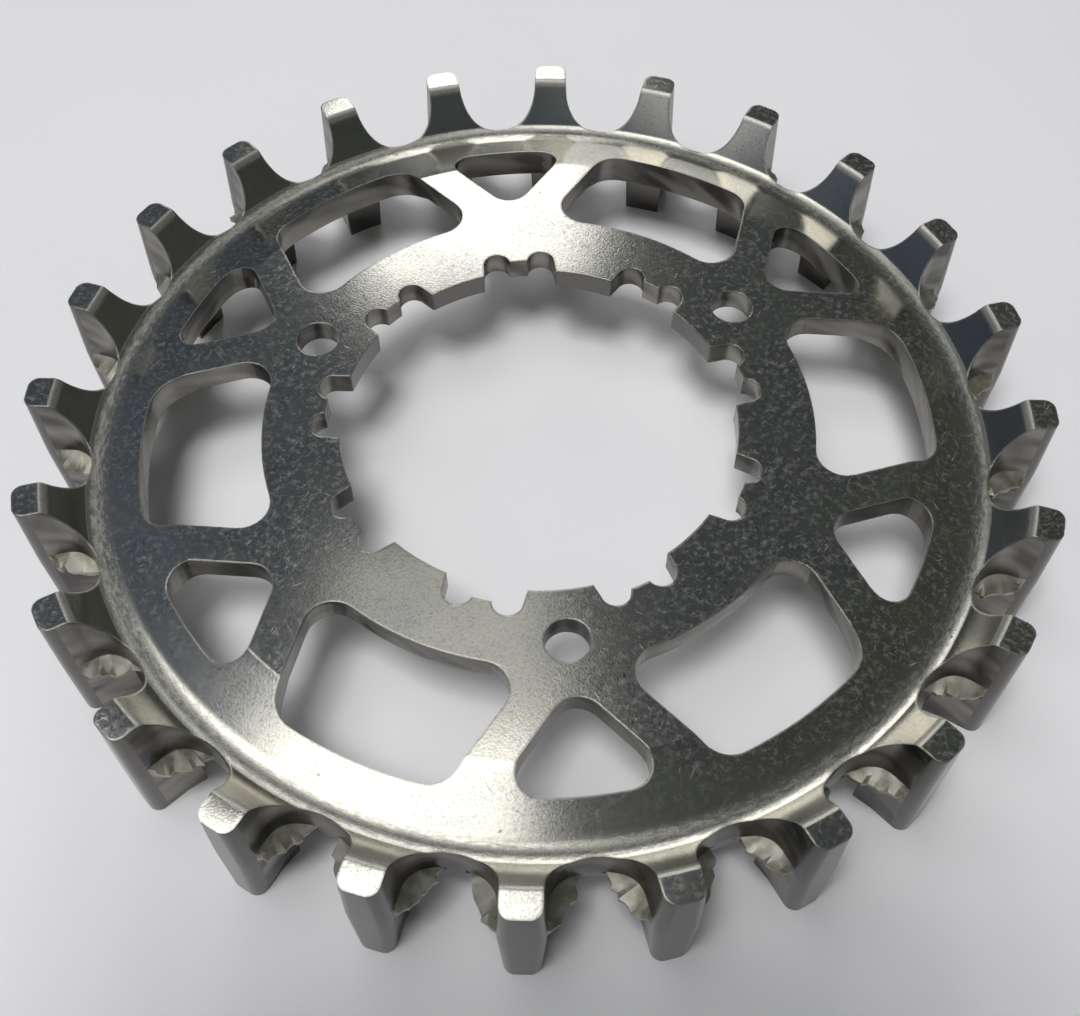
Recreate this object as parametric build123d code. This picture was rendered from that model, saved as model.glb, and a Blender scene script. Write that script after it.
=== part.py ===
from build123d import *
import os
from math import asin, cos, pi, radians, sin, sqrt, tan

# Rear sprocket of a bicycle belt drive: one dished disc of stainless steel with drafted teeth,
# a skeleton web and a nine-spline bore.
# Millimetres and degrees. The axis is +Z and the teeth stand on Z = 0.

# Tooth ring
TOOTH_COUNT = 24
BELT_PITCH = 11.0            # tooth to tooth along the belt's cords
TIP_INSET = 0.8              # tips lie this far inside the pitch circle
TOOTH_LENGTH = 13.0          # along the axis
TOOTH_DEPTH = 4.93           # tip to the bottom of a gap, at the flash
PARTING_HEIGHT = 6.8         # the two forging dies met here, at the flash
TOOTH_HALF_WIDTH = 1.74      # at that height, where a tooth is widest
DRAFT = 2.6                  # gaps open from there to both ends by this angle
TIP_CHAMFER = 0.42           # plan chamfer of the tip's two corners
GAP_CORNER_R = 2.6           # plan radius between a gap's floor and a flank
CORNER_FLAT_COUNT = 2        # that corner is this many flats which touch the radius

# Broken flash left on both flanks of each gap
FLASH_EDGE = 0.35            # thickness at the gap's floor
FLASH_TAPER = 12.0           # each of its two faces opens towards the flank by this angle
FLASH_END_DEPTH = 1.2        # it ends this far below the tips
MOUTH_DEPTH = 1.55           # outer end of its broken edge, below the tips
MOUTH_HALF_WIDTH = 2.63
NOSE_DEPTH = 3.75            # inner end of its broken edge, below the tips
NOSE_HALF_WIDTH = 1.2
FLOOR_HALF_WIDTH = 0.8       # bare middle of the gap's floor

# Section of the upper side, from the tips inwards
PAD_LENGTH = 2.05            # flat end of a tooth
BEVEL_LENGTH = 0.32
BEVEL_DROP = 0.2
BACK_INSET = 5.2             # tips to the foot of a tooth's sloping back
VALLEY_WIDTH = 1.2           # level bottom between that foot and the dish
DISH_ANGLE = 17.0            # rim falls outwards from the web
RIM_WIDTH = 9.15             # tips to the windows
SHOULDER_WIDTH = 2.35        # windows' outer edge to the start of the dish
WEB_DROP = 1.9               # web below the ends of the teeth

# Section of the lower side
WEB_THICKNESS = 2.0
UNDER_ANGLE = 24.4
UNDER_INSET = 0.8            # lower dish starts this far inside the upper one
LEG_DEPTH = 4.5              # tip to the inner face of a tooth's lower half
LEG_TOE = 1.6                # length over which the leg widens towards that face
LEG_FLARE = 0.25             # by which each flank widens there

# Bore
SPLINE_COUNT = 9
LAND_R = 16.15
LAND_HALF_WIDTH = 2.45
NOTCH_R = 1.18
NOTCH_OUT = 1.08             # notch centres outside the lands
NOTCH_SPREAD = 3.84          # between the two notch centres of a slot
SLOT_DEPTH = 1.25            # lands to the floor between two notches

# Bolt holes
BOLT_COUNT = 3
BOLT_CIRCLE_R = 20.41
BOLT_HOLE_R = 1.75

# Windows and spokes
WINDOW_COUNT = 6             # of each of the two kinds
RING_R = 22.35               # inner edge of the large windows
APEX_R = 24.97               # inner end of the small windows
APEX_FILLET = 2.0
SMALL_FILLET = 1.75
INNER_FILLET = 2.2
OUTER_FILLET = 2.5
SPOKE_ANGLE = 40.0           # spokes against the axis of a small window
SPOKE_WIDTH = 3.1

# Bolt holes, a land, a gap and a small window all stand at this angle
FRONT = -90.0
OVERCUT = 0.3                # cutters pass the faces by this much

PITCH_R = TOOTH_COUNT * BELT_PITCH / (2 * pi)
TIP_R = PITCH_R - TIP_INSET
ROOT_R = TIP_R - TOOTH_DEPTH
LEG_R = TIP_R - LEG_DEPTH
WINDOW_R = TIP_R - RIM_WIDTH
SHOULDER_R = WINDOW_R - SHOULDER_WIDTH
WEB_TOP = TOOTH_LENGTH - WEB_DROP
WEB_BOTTOM = WEB_TOP - WEB_THICKNESS
HALF_PITCH = 180 / TOOTH_COUNT


def turned(shape, angle):
    """A shape drawn along +Y, turned so that it points at an angle about the axis."""
    return Rot(0, 0, angle - 90) * shape


def ring_of(shape, count, start):
    """Copies of a shape drawn along +Y, evenly spaced about the axis."""
    return [turned(shape, start + 360 * k / count) for k in range(count)]


def mirrored(points):
    """The same points on the other side of the Y axis, in reverse order."""
    return [Vector(-p.X, p.Y, p.Z) for p in reversed(points)]


def corner_nearest(face, point):
    """The corner of a flat outline that lies nearest to a point."""
    return face.vertices().sort_by_distance(point)[0]


def blank():
    """The turned disc before any cutting: web, dish, valley, tooth ring and hollow underside."""
    pad_r = TIP_R - PAD_LENGTH
    back_r = TIP_R - BACK_INSET
    dish_r = back_r - VALLEY_WIDTH
    valley_z = WEB_TOP - tan(radians(DISH_ANGLE)) * (dish_r - SHOULDER_R)
    under_r = SHOULDER_R - UNDER_INSET
    crook_z = WEB_BOTTOM - tan(radians(UNDER_ANGLE)) * (LEG_R - under_r)
    section = Polyline(
        (LAND_R, WEB_TOP),
        (SHOULDER_R, WEB_TOP),
        (dish_r, valley_z),
        (back_r, valley_z),
        (pad_r - BEVEL_LENGTH, TOOTH_LENGTH - BEVEL_DROP),
        (pad_r, TOOTH_LENGTH),
        (TIP_R, TOOTH_LENGTH),
        (TIP_R, 0),
        (LEG_R, 0),
        (LEG_R, crook_z),
        (under_r, WEB_BOTTOM),
        (LAND_R, WEB_BOTTOM),
        close=True,
    )
    return revolve(Plane.XZ * make_face(section), Axis.Z)


def flank_point(along, half_width):
    """A point of the gap's right flank, from its place along the tooth and off the tooth's middle."""
    c = cos(radians(HALF_PITCH))
    s = sin(radians(HALF_PITCH))
    return Vector(along * s - half_width * c, along * c + half_width * s)


def half_gap(right, height):
    """One half of a gap, opening upwards, from the right side of its outline at the parting height."""
    inner = flank_point(TIP_R - TIP_CHAMFER, TOOTH_HALF_WIDTH)
    outer = flank_point(TIP_R + OVERCUT, TOOTH_HALF_WIDTH - TIP_CHAMFER - OVERCUT)
    right = right + [inner, outer]
    return extrude(make_face(Polyline(*right, *mirrored(right), close=True)), height, taper=-DRAFT)


def upper_gap():
    """Upper half of a gap: a flat floor that turns up into the flanks."""
    off = TOOTH_HALF_WIDTH + GAP_CORNER_R
    lift = off * sin(radians(HALF_PITCH))
    centre = flank_point((ROOT_R + GAP_CORNER_R - lift) / cos(radians(HALF_PITCH)), off)
    step = (90 - HALF_PITCH) / (CORNER_FLAT_COUNT + 1)
    reach = Vector(0, -GAP_CORNER_R / cos(radians(step / 2)))
    corner = [centre + reach.rotate(Axis.Z, step * (k + 0.5)) for k in range(CORNER_FLAT_COUNT + 1)]
    return half_gap(corner, TOOTH_LENGTH - PARTING_HEIGHT + OVERCUT)


def lower_gap():
    """Lower half of a gap, drawn upside down: each tooth goes on as a leg that widens towards the axis."""
    toe = flank_point(LEG_R - OVERCUT, TOOTH_HALF_WIDTH + LEG_FLARE)
    heel = flank_point(LEG_R + LEG_TOE, TOOTH_HALF_WIDTH)
    return half_gap([Vector(toe.X, ROOT_R), toe, heel], PARTING_HEIGHT + OVERCUT)


def flash():
    """Broken flash on the two flanks of one gap: a plate that thickens towards the teeth, its middle gone."""
    reach = TIP_R * sin(radians(HALF_PITCH))
    thin = FLASH_EDGE / 2
    thick = thin + (reach - FLOOR_HALF_WIDTH) * tan(radians(FLASH_TAPER))
    section = make_face(Polyline(
        (FLOOR_HALF_WIDTH, -thin),
        (reach, -thick),
        (reach, thick),
        (FLOOR_HALF_WIDTH, thin),
        close=True,
    ))
    plan = make_face(Polyline(
        (FLOOR_HALF_WIDTH, ROOT_R - OVERCUT),
        (NOSE_HALF_WIDTH, TIP_R - NOSE_DEPTH),
        (MOUTH_HALF_WIDTH, TIP_R - MOUTH_DEPTH),
        flank_point(TIP_R - FLASH_END_DEPTH, 0),
        (reach, ROOT_R - OVERCUT),
        close=True,
    ))
    plate = Pos(0, 0, PARTING_HEIGHT) * extrude(Plane.XZ * section, -TIP_R)
    right = plate & extrude(plan, TOOTH_LENGTH)
    return [right, mirror(right, Plane.YZ)]


def gap_cutter():
    """One gap between two teeth, along +Y, with the broken flash standing on both flanks."""
    return Pos(0, 0, PARTING_HEIGHT) * (upper_gap() + mirror(lower_gap(), Plane.XY)) - flash()


def bore_slot():
    """Outline of one slot of the bore, along +Y: two round notches with a low floor between them."""
    half_angle = radians(180 / SPLINE_COUNT) - asin(LAND_HALF_WIDTH / LAND_R)
    notch = Vector(NOTCH_SPREAD / 2, sqrt((LAND_R + NOTCH_OUT) ** 2 - (NOTCH_SPREAD / 2) ** 2))
    wall_top = notch + Vector(notch.Y, -notch.X).normalized() * NOTCH_R
    wall_foot = Vector(LAND_R * sin(half_angle), LAND_R * cos(half_angle))
    wall_end = wall_foot + (wall_foot - wall_top).normalized() * OVERCUT
    right = [wall_end, wall_top, notch]
    mouth = make_face(Polyline(*right, *mirrored(right), close=True))
    floor = Circle(LAND_R + SLOT_DEPTH) & Pos(0, notch.Y) * Rectangle(NOTCH_SPREAD, 2 * NOTCH_R)
    notches = [Pos(side * notch.X, notch.Y) * Circle(NOTCH_R) for side in (1, -1)]
    return mouth + floor + notches


def small_window():
    """Outline of a small window, along +Y: a rounded triangle with its point towards the bore."""
    lean = radians(SPOKE_ANGLE)
    apex = Vector(0, APEX_R - APEX_FILLET * (1 / sin(lean) - 1))
    corner = apex + Vector(sin(lean), cos(lean)) * TIP_R
    outline = Circle(WINDOW_R) & make_face(Polyline(apex, corner, Vector(-corner.X, corner.Y), close=True))
    outline = fillet(corner_nearest(outline, apex), APEX_FILLET)
    return fillet(outline.vertices().sort_by(Axis.Y)[-2:], SMALL_FILLET)


def large_window():
    """Outline of a large window, along +Y, between two spokes."""
    lean = radians(SPOKE_ANGLE)
    apex = Vector(0, APEX_R - APEX_FILLET * (1 / sin(lean) - 1))
    along = Vector(sin(lean), cos(lean))
    side = apex + Vector(cos(lean), -sin(lean)) * SPOKE_WIDTH
    to_window = 180 / WINDOW_COUNT
    low = (side - along * LAND_R).rotate(Axis.Z, to_window)
    high = (side + along * TIP_R).rotate(Axis.Z, to_window)
    left = [low, high]
    band = Circle(WINDOW_R) - Circle(RING_R)
    outline = band & make_face(Polyline(*left, *mirrored(left), close=True))
    corners = outline.vertices().sort_by(Axis.Y)
    outline = fillet(corners[:2], INNER_FILLET)
    return fillet(outline.vertices().sort_by(Axis.Y)[-2:], OUTER_FILLET)


def web_cuts():
    """Everything cut straight through the web: bore slots, bolt holes and both kinds of window."""
    slots = ring_of(bore_slot(), SPLINE_COUNT, FRONT + 180 / SPLINE_COUNT)
    holes = ring_of(Pos(0, BOLT_CIRCLE_R) * Circle(BOLT_HOLE_R), BOLT_COUNT, FRONT)
    small = ring_of(small_window(), WINDOW_COUNT, FRONT)
    large = ring_of(large_window(), WINDOW_COUNT, FRONT + 180 / WINDOW_COUNT)
    return [extrude(outline, TOOTH_LENGTH) for outline in slots + holes + small + large]


def sprocket():
    """The finished part."""
    gaps = ring_of(gap_cutter(), TOOTH_COUNT, FRONT)
    return blank() - web_cuts() - gaps


part = sprocket()
os.makedirs("parts", exist_ok=True)
export_step(part, "parts/sprocket.step")
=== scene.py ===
"""Looks of the belt drive sprocket: one tumbled stainless piece on a pale table, in its CAD frame."""

import logging
import math
import random
from dataclasses import dataclass, field
from enum import Enum

import bmesh
import bpy
from mathutils import Matrix, Vector


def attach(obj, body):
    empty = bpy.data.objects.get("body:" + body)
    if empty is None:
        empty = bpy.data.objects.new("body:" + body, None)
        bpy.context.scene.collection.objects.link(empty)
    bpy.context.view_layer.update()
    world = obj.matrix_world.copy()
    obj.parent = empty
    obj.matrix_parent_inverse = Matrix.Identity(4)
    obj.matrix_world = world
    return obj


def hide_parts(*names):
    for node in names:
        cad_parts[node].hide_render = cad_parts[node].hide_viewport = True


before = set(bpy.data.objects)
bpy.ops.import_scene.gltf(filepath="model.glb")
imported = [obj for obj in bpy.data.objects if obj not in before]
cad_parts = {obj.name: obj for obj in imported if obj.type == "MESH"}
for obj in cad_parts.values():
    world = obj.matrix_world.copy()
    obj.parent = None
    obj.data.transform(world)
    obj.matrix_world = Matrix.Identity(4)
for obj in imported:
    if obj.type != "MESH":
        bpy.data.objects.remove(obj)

LOG = logging.getLogger("sprocket")
MM = 0.001
# the part's first window, bolt hole and tooth gap point this way, in degrees
FRONT = -90.0
# corners closer than this are one, in millimetres
SAME_PLACE = 0.0005
# settings that many nodes share
TIMES = {"operation": "MULTIPLY"}
LARGER = {"operation": "MAXIMUM"}
COLOURS = {"data_type": "RGBA"}

Plan = tuple[float, float]
Place = tuple[float, float, float]
Source = bpy.types.Node | bpy.types.NodeSocket
Tree = bpy.types.NodeTree
Steels = list[bpy.types.Material]


class Finish(Enum):
    """Material slots of the steel, by number."""

    TURNED = 0
    WALL = 1
    TORN = 2


class Bend(Enum):
    """Which arc about the axis a window's rounded corner meets: its outer or its inner one."""

    OUTER = 1.0
    INNER = -1.0


class Facing(Enum):
    """Which way a lamp shines."""

    DOWN = (0.0, 0.0, -1.0)
    FORWARD = (0.0, -1.0, 0.0)
    MIDDLE = None


class Kind(Enum):
    """Shader nodes that the finishes and the room are made of."""

    COORDINATE = "ShaderNodeTexCoord"
    GEOMETRY = "ShaderNodeNewGeometry"
    BEVEL = "ShaderNodeBevel"
    SPLIT = "ShaderNodeSeparateXYZ"
    GATHER = "ShaderNodeCombineXYZ"
    MAPPING = "ShaderNodeMapping"
    NOISE = "ShaderNodeTexNoise"
    RANGE = "ShaderNodeMapRange"
    MATH = "ShaderNodeMath"
    VECTOR = "ShaderNodeVectorMath"
    MIX = "ShaderNodeMix"
    BUMP = "ShaderNodeBump"
    SURFACE = "ShaderNodeBsdfPrincipled"
    GLOW = "ShaderNodeBackground"
    MATERIAL = "ShaderNodeOutputMaterial"
    WORLD = "ShaderNodeOutputWorld"


@dataclass(frozen=True)
class Span:
    """A stretch of values over which something comes from its least to its most."""

    start: float
    end: float
    least: float = 0.0
    most: float = 1.0

    def limits(self, unit: float = 1.0) -> dict[str, float]:
        """Give the inputs of a Map Range node.

        Args:
            unit: factor on the stretch, such as that from millimetres to metres.

        Returns:
            Their values by name.
        """
        ends = {"From Min": self.start * unit, "From Max": self.end * unit}
        return {**ends, "To Min": self.least, "To Max": self.most}


def linear(code: str) -> tuple[float, float, float, float]:
    """Turn an sRGB hex colour into linear RGBA.

    Args:
        code: six hex digits with a leading hash.

    Returns:
        The colour as Blender's sockets take it.
    """
    parts = [int(code[k:k + 2], 16) / 255 for k in (1, 3, 5)]
    low = [c / 12.92 if c <= 0.04045 else ((c + 0.055) / 1.055) ** 2.4 for c in parts]
    return (low[0], low[1], low[2], 1.0)


def arc(centre: Plan, radius: float, start: float, end: float, steps: int) -> list[Plan]:
    """Points on a circular arc, both ends included.

    Args:
        centre: middle of the circle.
        radius: its radius.
        start: angle of the first point, in degrees.
        end: angle of the last point, in degrees.
        steps: number of equal steps.

    Returns:
        The points in order.
    """
    angles = [math.radians(start + (end - start) * k / steps) for k in range(steps + 1)]
    return [(centre[0] + radius * math.cos(a), centre[1] + radius * math.sin(a)) for a in angles]


def mirrored(points: list[Plan]) -> list[Plan]:
    """The points on the other side of the Y axis, in reverse order."""
    return [(-x, y) for x, y in reversed(points)]


def bearing(point: Plan, centre: Plan = (0.0, 0.0)) -> float:
    """Angle of a point as seen from a centre, in degrees."""
    return math.degrees(math.atan2(point[1] - centre[1], point[0] - centre[0]))


def turned(points: list[Plan], angle: float) -> list[Plan]:
    """Turn points drawn along +Y so that they point at an angle about the axis.

    Args:
        points: the drawn points.
        angle: where they should point, in degrees.

    Returns:
        The turned points.
    """
    c = math.cos(math.radians(angle - 90))
    s = math.sin(math.radians(angle - 90))
    return [(c * x - s * y, s * x + c * y) for x, y in points]


def spaced(path: list[Vector], count: int) -> list[Vector]:
    """Even places along a path of straight legs, both ends included.

    Args:
        path: corners of the path.
        count: how many places.

    Returns:
        The places in order.
    """
    lengths = [(b - a).length for a, b in zip(path, path[1:])]
    total = sum(lengths)
    places = []
    for k in range(count):
        want = total * k / (count - 1)
        leg = 0
        while leg < len(lengths) - 1 and want > lengths[leg]:
            want -= lengths[leg]
            leg += 1
        places.append(path[leg].lerp(path[leg + 1], min(want / lengths[leg], 1)))
    return places


def alone(piece: bpy.types.Object) -> None:
    """Make a piece the only selected object and the active one.

    Args:
        piece: the object to work on.
    """
    bpy.ops.object.select_all(action="DESELECT")
    piece.select_set(True)
    bpy.context.view_layer.objects.active = piece


def ring_object(name: str, points: list[Vector]) -> bpy.types.Object:
    """Add a circle and pull its vertices onto a closed outline.

    Args:
        name: name of the new object.
        points: corners of the outline, in millimetres.

    Returns:
        The object, left in edit mode with the outline selected.
    """
    bpy.ops.object.select_all(action="DESELECT")
    bpy.ops.mesh.primitive_circle_add(vertices=len(points), radius=MM)
    piece = bpy.context.active_object
    piece.name = name
    bpy.ops.object.mode_set(mode="EDIT")
    place_selected(piece, points)
    return piece


def place_selected(piece: bpy.types.Object, points: list[Vector]) -> None:
    """Put the selected ring of a piece in edit mode onto new places, in index order.

    Args:
        piece: the object in edit mode.
        points: one place for each selected vertex, in millimetres.
    """
    mesh = bmesh.from_edit_mesh(piece.data)
    ring = sorted((v for v in mesh.verts if v.select), key=lambda v: v.index)
    for vertex, point in zip(ring, points, strict=True):
        vertex.co = point * MM
    bmesh.update_edit_mesh(piece.data)


def tidy_normals() -> None:
    """Merge doubles and turn all faces of the mesh in edit mode outwards."""
    bpy.ops.mesh.select_all(action="SELECT")
    bpy.ops.mesh.remove_doubles(threshold=SAME_PLACE * MM)
    bpy.ops.mesh.normals_make_consistent(inside=False)


def prism(name: str, outline: list[Plan], low: float, high: float) -> bpy.types.Object:
    """Extrude a flat outline between two heights.

    Args:
        name: name of the new object.
        outline: corners in plan, in millimetres.
        low: lower height.
        high: upper height.

    Returns:
        The closed prism, in object mode.
    """
    piece = ring_object(name, [Vector((x, y, low)) for x, y in outline])
    bpy.ops.mesh.edge_face_add()
    bpy.ops.mesh.extrude_region_move(TRANSFORM_OT_translate={"value": (0, 0, (high - low) * MM)})
    tidy_normals()
    bpy.ops.object.mode_set(mode="OBJECT")
    return piece


def dress(piece: bpy.types.Object, steels: Steels, finish: Finish) -> None:
    """Give a piece the steel's material slots and one finish all over.

    Args:
        piece: the object, in object mode.
        steels: materials in the order of the finishes.
        finish: what its faces start with.
    """
    for steel in steels:
        piece.data.materials.append(steel)
    for face in piece.data.polygons:
        face.material_index = finish.value


def turned_copy(piece: bpy.types.Object, angle: float) -> bpy.types.Object:
    """Copy a piece with its mesh and turn the copy about the axis.

    Args:
        piece: the object, in object mode.
        angle: how far, in degrees.

    Returns:
        The copy, at the origin.
    """
    twin = piece.copy()
    twin.data = piece.data.copy()
    twin.data.transform(Matrix.Rotation(math.radians(angle), 4, "Z"))
    bpy.context.collection.objects.link(twin)
    return twin


def joined(pieces: list[bpy.types.Object]) -> bpy.types.Object:
    """Join objects into the first one.

    Args:
        pieces: the objects.

    Returns:
        The joined object.
    """
    bpy.ops.object.select_all(action="DESELECT")
    for piece in pieces:
        piece.select_set(True)
    bpy.context.view_layer.objects.active = pieces[0]
    bpy.ops.object.join()
    return pieces[0]


def cut(piece: bpy.types.Object, cutter: bpy.types.Object) -> None:
    """Cut one object with another and delete the cutter.

    Args:
        piece: what stays.
        cutter: the shape that is taken away.
    """
    alone(piece)
    step = piece.modifiers.new("cut", "BOOLEAN")
    step.operation = "DIFFERENCE"
    step.solver = "EXACT"
    step.object = cutter
    bpy.ops.object.modifier_apply(modifier=step.name)
    bpy.data.objects.remove(cutter, do_unlink=True)


@dataclass
class TurnedBlank:
    """The disc off the lathe: web, dished rim, valley, tooth ring and hollow underside. Millimetres."""

    tip_r: float = 41.217
    tooth_length: float = 13.0
    pad_length: float = 2.05
    round_length: float = 0.31
    round_drop: float = 0.38
    valley_r: float = 35.27
    valley_radius: float = 3.2
    back_slope: float = 22.0
    dish_angle: float = 17.0
    shoulder_r: float = 29.717
    web_top: float = 11.1
    web_bottom: float = 9.1
    land_r: float = 16.15
    under_r: float = 28.917
    under_angle: float = 24.4
    leg_r: float = 36.717
    spin_steps: int = 240
    valley_steps: int = 8
    round_steps: int = 6

    def section(self) -> list[Plan]:
        """Draw the closed section.

        Returns:
            Its corners as (radius, height).
        """
        dish = math.radians(self.dish_angle)
        dish_end = self.valley_r - self.valley_radius * math.sin(dish)
        dish_z = self.web_top - math.tan(dish) * (dish_end - self.shoulder_r)
        centre = (self.valley_r, dish_z + self.valley_radius * math.cos(dish))
        sweep = (-90 - self.dish_angle, -90 + self.back_slope)
        valley = arc(centre, self.valley_radius, *sweep, self.valley_steps)
        crook = self.web_bottom - math.tan(math.radians(self.under_angle)) * (self.leg_r - self.under_r)
        crest = Vector((self.tip_r - self.pad_length - self.round_length / 2, self.tooth_length))
        foot = Vector(valley[-1])
        start = crest + (foot - crest).normalized() * self.round_drop
        end = crest + Vector((self.round_length, 0))
        shares = [k / self.round_steps for k in range(self.round_steps + 1)]
        brow = [tuple(start.lerp(crest, t).lerp(crest.lerp(end, t), t)) for t in shares]
        return [
            (self.land_r, self.web_top),
            (self.shoulder_r, self.web_top),
            *valley,
            *brow,
            (self.tip_r, self.tooth_length),
            (self.tip_r, 0.0),
            (self.leg_r, 0.0),
            (self.leg_r, crook),
            (self.under_r, self.web_bottom),
            (self.land_r, self.web_bottom),
        ]

    def build(self, steels: Steels) -> bpy.types.Object:
        """Spin the section about the axis.

        Args:
            steels: materials in the order of the finishes.

        Returns:
            The closed disc.
        """
        piece = ring_object("sprocket_steel", [Vector((r, 0, z)) for r, z in self.section()])
        bpy.ops.mesh.spin(steps=self.spin_steps, angle=math.tau, center=(0, 0, 0), axis=(0, 0, 1))
        tidy_normals()
        bpy.ops.object.mode_set(mode="OBJECT")
        dress(piece, steels, Finish.TURNED)
        return piece


@dataclass
class WebCuts:
    """What is cut straight through the web: windows, bolt holes and the slots of the bore. Millimetres."""

    window_count: int = 6
    window_r: float = 32.067
    ring_r: float = 22.35
    apex_r: float = 24.97
    apex_fillet: float = 2.0
    small_fillet: float = 1.75
    inner_fillet: float = 2.2
    outer_fillet: float = 2.5
    spoke_angle: float = 40.0
    spoke_width: float = 3.1
    bolt_count: int = 3
    bolt_circle_r: float = 20.41
    bolt_hole_r: float = 1.75
    spline_count: int = 9
    land_r: float = 16.15
    land_half_width: float = 2.45
    notch_r: float = 1.18
    notch_out: float = 1.08
    notch_spread: float = 3.84
    slot_depth: float = 1.25
    slot_over: float = 0.4
    low: float = 4.0
    high: float = 14.0
    apex_steps: int = 5
    fillet_steps: int = 8
    small_arc_steps: int = 4
    ring_arc_steps: int = 6
    large_arc_steps: int = 8
    slot_floor_steps: int = 2
    notch_steps: int = 14
    hole_steps: int = 40

    def corner(self, base: Plan, lean: float, radius: float, arc_r: float,
               bend: Bend) -> tuple[Plan, Plan, Plan]:
        """Find the rounding between a window's straight right side and an arc about the axis.

        Args:
            base: a point of the straight side.
            lean: angle of the side against +Y, in degrees, towards +X.
            radius: radius of the rounding.
            arc_r: radius of the arc.
            bend: whether the arc is the window's outer or its inner one.

        Returns:
            The rounding's centre, its end on the straight side and its end on the arc.
        """
        along = Vector((math.sin(math.radians(lean)), math.cos(math.radians(lean))))
        inward = Vector((-along.y, along.x))
        start = Vector(base) + inward * radius
        circle = arc_r - bend.value * radius
        b = start.dot(along)
        reach = -b + math.sqrt(b * b - start.dot(start) + circle * circle)
        centre = start + along * reach
        on_side = centre - inward * radius
        on_arc = centre + centre.normalized() * (bend.value * radius)
        return tuple(centre), tuple(on_side), tuple(on_arc)

    def spoke_apex(self) -> Plan:
        """Where the two sides of a small window would meet without their rounding."""
        return (0.0, self.apex_r - self.apex_fillet * (1 / math.sin(math.radians(self.spoke_angle)) - 1))

    def small_window(self) -> list[Plan]:
        """Draw a small window along +Y, a rounded triangle.

        Returns:
            Its outline.
        """
        centre, on_side, on_arc = self.corner(
            self.spoke_apex(), self.spoke_angle, self.small_fillet, self.window_r, Bend.OUTER)
        tip = (0.0, self.apex_r + self.apex_fillet)
        rounding = (bearing(on_side, centre), bearing(on_arc, centre))
        right = [
            *arc(tip, self.apex_fillet, -90, -self.spoke_angle, self.apex_steps),
            *arc(centre, self.small_fillet, *rounding, self.fillet_steps),
            *arc((0, 0), self.window_r, bearing(on_arc), 90, self.small_arc_steps)[1:],
        ]
        return right + mirrored(right)[1:-1]

    def large_window(self) -> list[Plan]:
        """Draw a large window along +Y, between two spokes.

        Returns:
            Its outline.
        """
        lean = math.radians(self.spoke_angle)
        apex = self.spoke_apex()
        side = (apex[0] - math.cos(lean) * self.spoke_width, apex[1] - math.sin(lean) * self.spoke_width)
        step = 180 / self.window_count
        base = turned([side], 90 - step)[0]
        tilt = step - self.spoke_angle
        low, low_side, low_arc = self.corner(base, tilt, self.inner_fillet, self.ring_r, Bend.INNER)
        high, high_side, high_arc = self.corner(base, tilt, self.outer_fillet, self.window_r, Bend.OUTER)
        inner = (bearing(low_arc, low), bearing(low_side, low))
        outer = (bearing(high_side, high), bearing(high_arc, high))
        right = [
            *arc((0, 0), self.ring_r, 90, bearing(low_arc), self.ring_arc_steps)[:-1],
            *arc(low, self.inner_fillet, *inner, self.fillet_steps),
            *arc(high, self.outer_fillet, *outer, self.fillet_steps),
            *arc((0, 0), self.window_r, bearing(high_arc), 90, self.large_arc_steps)[1:],
        ]
        return right + mirrored(right)[1:-1]

    def bore_slot(self) -> list[Plan]:
        """Draw one slot of the bore along +Y: two round notches and a low floor between them.

        Returns:
            Its outline.
        """
        out = self.land_r + self.notch_out
        half = self.notch_spread / 2
        notch = Vector((half, math.sqrt(out * out - half * half)))
        across = Vector((notch.y, -notch.x)).normalized()
        floor_r = self.land_r + self.slot_depth
        reach = (floor_r ** 2 - self.notch_r ** 2 + out ** 2) / (2 * out)
        meet = tuple(notch.normalized() * reach - across * math.sqrt(floor_r ** 2 - reach ** 2))
        wall_top = notch + across * self.notch_r
        spread = math.radians(180 / self.spline_count) - math.asin(self.land_half_width / self.land_r)
        foot = Vector((math.sin(spread), math.cos(spread))) * self.land_r
        end = foot + (foot - wall_top).normalized() * self.slot_over
        centre = tuple(notch)
        sweep = (bearing(meet, centre) % 360, bearing(tuple(wall_top), centre))
        right = [
            *arc((0, 0), floor_r, 90, bearing(meet), self.slot_floor_steps)[:-1],
            *arc(centre, self.notch_r, *sweep, self.notch_steps),
            tuple(end),
        ]
        return right + mirrored(right)[:-1]

    def build(self, steels: Steels) -> bpy.types.Object:
        """Make all the cutters as one object.

        Args:
            steels: materials in the order of the finishes.

        Returns:
            The joined cutter.
        """
        hole = arc((0.0, self.bolt_circle_r), self.bolt_hole_r, 0, 360, self.hole_steps)[:-1]
        kinds = [
            (self.small_window(), self.window_count, FRONT),
            (self.large_window(), self.window_count, FRONT + 180 / self.window_count),
            (self.bore_slot(), self.spline_count, FRONT + 180 / self.spline_count),
            (hole, self.bolt_count, FRONT),
        ]
        parts = []
        for outline, count, start in kinds:
            first = prism("web_cut", turned(outline, start), self.low, self.high)
            dress(first, steels, Finish.WALL)
            parts.append(first)
            parts.extend(turned_copy(first, 360 * k / count) for k in range(1, count))
        return joined(parts)


@dataclass(frozen=True)
class FlashLevel:
    """One ring of a gap's cutter near the parting line. Millimetres.

    Its plain wall is drawn as at the height wall_z. Beside the flash it lies at height. At the flash it
    lies at flash_height, climbs by rise towards the mouth and is uneven by rough, and it is moved by out,
    a share of the way from the wall to the torn edge, and then by shift.
    """

    wall_z: float
    height: float
    flash_height: float
    rise: float = 0.0
    rough: float = 0.0
    out: float = 1.0
    shift: Plan = (0.0, 0.0)


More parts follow.
